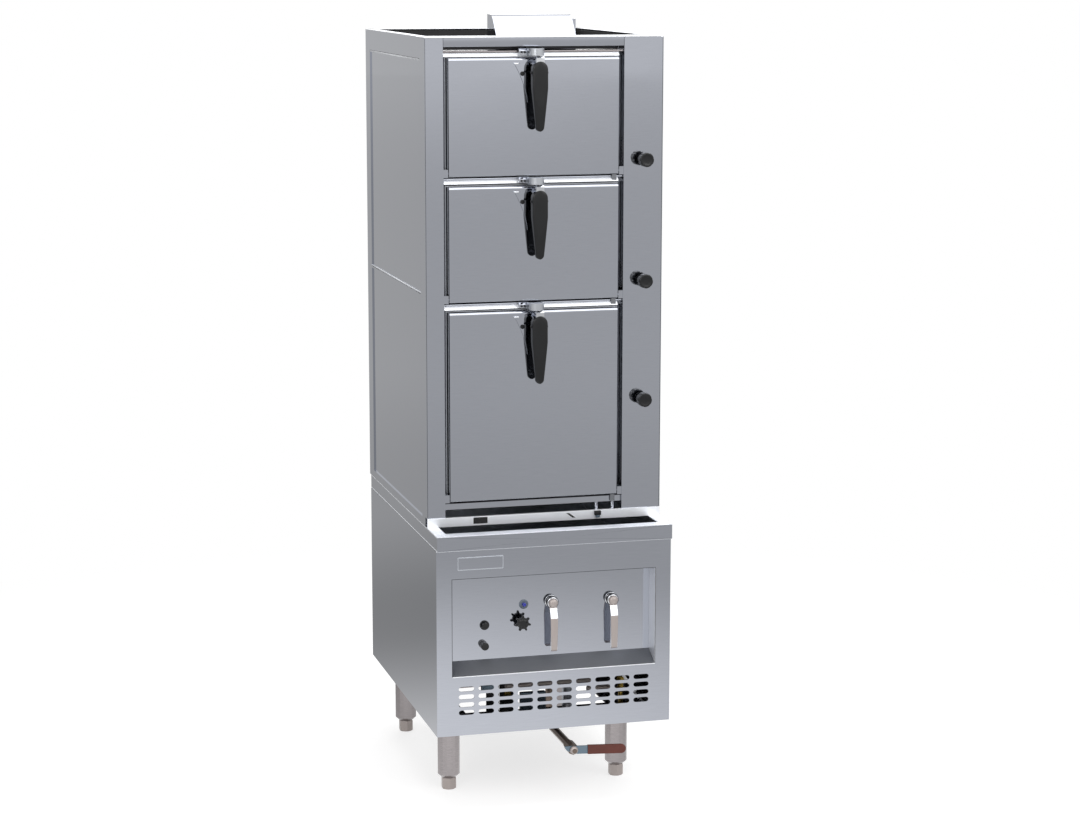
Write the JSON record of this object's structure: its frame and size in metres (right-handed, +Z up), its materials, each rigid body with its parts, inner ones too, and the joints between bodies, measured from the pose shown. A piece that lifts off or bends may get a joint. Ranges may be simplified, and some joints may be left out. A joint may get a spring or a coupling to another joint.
{
  "type": "steamer cabinet",
  "caption": "Tall gas steamer cabinet: a base with a water trough, stacked drop-down doors with latches, steam knobs, recessed taps and gas controls, levelling feet.",
  "frame": {"origin": "on the floor, under the middle of the whole cabinet", "axes": "+Z up, +Y from the front to the back, +X to the right along the front"},
  "size_m": [0.6, 0.823, 1.9585],
  "materials": {
    "polished_steel": "polished to a near mirror",
    "brushed_steel": "brushed",
    "chrome": "bright plated",
    "cast_iron": "rough cast",
    "brass": "machined",
    "black_plastic": "moulded, satin black",
    "seal_rubber": "moulded",
    "blue_lamp": "clear moulded lens",
    "zinc_blue": "blue passivated zinc",
    "red_brown_sleeve": "dipped plastic"
  },
  "bodies": {
    "cabinet": {"base_wrapper": "polished_steel", "base_front_fascia": "polished_steel", "base_floor_and_legs": "brushed_steel", "control_panel": "polished_steel", "deck_frame": "polished_steel", "water_tank": "brushed_steel", "burner": "cast_iron", "gas_pipework": "brass", "drain_valve": "brushed_steel", "casing_side_left": "polished_steel", "casing_side_right": "polished_steel", "casing_back": "polished_steel", "stile_left": "polished_steel", "stile_right": "polished_steel", "header_rail": "polished_steel", "sill_rail": "polished_steel", "rail_over_lower_door": "polished_steel", "rail_over_middle_door": "polished_steel", "chamber_liner": "brushed_steel", "flue_duct": "brushed_steel", "flue_hood": "polished_steel", "steam_valves": "brushed_steel", "indicator_lamp": "blue_lamp", "tap_body_left": "chrome", "tap_body_right": "chrome", "latch_keeper_lower": "chrome", "latch_keeper_middle": "chrome", "latch_keeper_upper": "chrome"},
    "door_lower": {"door_skin_lower": "polished_steel", "door_pan_lower": "brushed_steel", "door_seal_lower": "seal_rubber", "latch_body_lower": "chrome"},
    "latch_lower": {"latch_handle_lower": "black_plastic", "latch_hook_lower": "chrome"},
    "door_middle": {"door_skin_middle": "polished_steel", "door_pan_middle": "brushed_steel", "door_seal_middle": "seal_rubber", "latch_body_middle": "chrome"},
    "latch_middle": {"latch_handle_middle": "black_plastic", "latch_hook_middle": "chrome"},
    "door_upper": {"door_skin_upper": "polished_steel", "door_pan_upper": "brushed_steel", "door_seal_upper": "seal_rubber", "latch_body_upper": "chrome"},
    "latch_upper": {"latch_handle_upper": "black_plastic", "latch_hook_upper": "chrome"},
    "knob_lower": {"steam_knob_lower": "black_plastic"},
    "knob_middle": {"steam_knob_middle": "black_plastic"},
    "knob_upper": {"steam_knob_upper": "black_plastic"},
    "igniter": {"igniter_button": "black_plastic"},
    "pilot": {"pilot_knob": "black_plastic"},
    "gas_wheel": {"gas_handwheel": "black_plastic"},
    "tap_left": {"tap_lever_left": "brushed_steel"},
    "tap_right": {"tap_lever_right": "brushed_steel"},
    "drain_handle": {"drain_lever": "zinc_blue", "drain_lever_sleeve": "red_brown_sleeve"},
    "foot_front_left": {"foot_front_left": "brushed_steel"},
    "foot_front_right": {"foot_front_right": "brushed_steel"},
    "foot_back_left": {"foot_back_left": "brushed_steel"},
    "foot_back_right": {"foot_back_right": "brushed_steel"}
  },
  "joints": [
    {"name": "door_lower_hinge", "type": "hinge", "parent": "cabinet", "child": "door_lower", "pos_m": [0, -0.2955, 0.779], "axis": [1, 0, 0], "range_deg": [0, 90]},
    {"name": "latch_lower_pivot", "type": "hinge", "parent": "door_lower", "child": "latch_lower", "pos_m": [-0.024, -0.3385, 1.2065], "axis": [-1, 0, 0], "range_deg": [0, 45]},
    {"name": "door_middle_hinge", "type": "hinge", "parent": "cabinet", "child": "door_middle", "pos_m": [0, -0.2955, 1.2745], "axis": [1, 0, 0], "range_deg": [0, 90]},
    {"name": "latch_middle_pivot", "type": "hinge", "parent": "door_middle", "child": "latch_middle", "pos_m": [-0.024, -0.3385, 1.5135], "axis": [-1, 0, 0], "range_deg": [0, 45]},
    {"name": "door_upper_hinge", "type": "hinge", "parent": "cabinet", "child": "door_upper", "pos_m": [0, -0.2955, 1.5815], "axis": [1, 0, 0], "range_deg": [0, 90]},
    {"name": "latch_upper_pivot", "type": "hinge", "parent": "door_upper", "child": "latch_upper", "pos_m": [-0.024, -0.3385, 1.8235], "axis": [-1, 0, 0], "range_deg": [0, 45]},
    {"name": "steam_knob_lower_turn", "type": "hinge", "parent": "cabinet", "child": "knob_lower", "pos_m": [0.2475, -0.3465, 1.013], "axis": [0, 1, 0], "range_deg": [0, 270]},
    {"name": "steam_knob_middle_turn", "type": "hinge", "parent": "cabinet", "child": "knob_middle", "pos_m": [0.2475, -0.3465, 1.31], "axis": [0, 1, 0], "range_deg": [0, 270]},
    {"name": "steam_knob_upper_turn", "type": "hinge", "parent": "cabinet", "child": "knob_upper", "pos_m": [0.2475, -0.3465, 1.609], "axis": [0, 1, 0], "range_deg": [0, 270]},
    {"name": "igniter_press", "type": "slide", "parent": "cabinet", "child": "igniter", "axis": [0, 1, 0], "range_m": [0, 0.004], "stiffness_N_per_m": 400},
    {"name": "pilot_knob_turn", "type": "hinge", "parent": "cabinet", "child": "pilot", "pos_m": [-0.1695, -0.3705, 0.4155], "axis": [0, 1, 0], "range_deg": [0, 90]},
    {"name": "gas_handwheel_turn", "type": "hinge", "parent": "cabinet", "child": "gas_wheel", "pos_m": [-0.075, -0.3805, 0.471], "axis": [0, 1, 0], "range_deg": [0, 270]},
    {"name": "tap_left_turn", "type": "hinge", "parent": "cabinet", "child": "tap_left", "pos_m": [0.0039, -0.3708, 0.5165], "axis": [0, 1, 0], "range_deg": [0, 90]},
    {"name": "tap_right_turn", "type": "hinge", "parent": "cabinet", "child": "tap_right", "pos_m": [0.1597, -0.3708, 0.514], "axis": [0, 1, 0], "range_deg": [0, 90]},
    {"name": "drain_lever_turn", "type": "hinge", "parent": "cabinet", "child": "drain_handle", "pos_m": [0.051, -0.4005, 0.141], "axis": [0, 1, 0], "range_deg": [0, 90]},
    {"name": "foot_front_left_level", "type": "slide", "parent": "cabinet", "child": "foot_front_left", "axis": [0, 0, -1], "range_m": [0, 0.04]},
    {"name": "foot_front_right_level", "type": "slide", "parent": "cabinet", "child": "foot_front_right", "axis": [0, 0, -1], "range_m": [0, 0.04]},
    {"name": "foot_back_left_level", "type": "slide", "parent": "cabinet", "child": "foot_back_left", "axis": [0, 0, -1], "range_m": [0, 0.04]},
    {"name": "foot_back_right_level", "type": "slide", "parent": "cabinet", "child": "foot_back_right", "axis": [0, 0, -1], "range_m": [0, 0.04]}
  ]
}
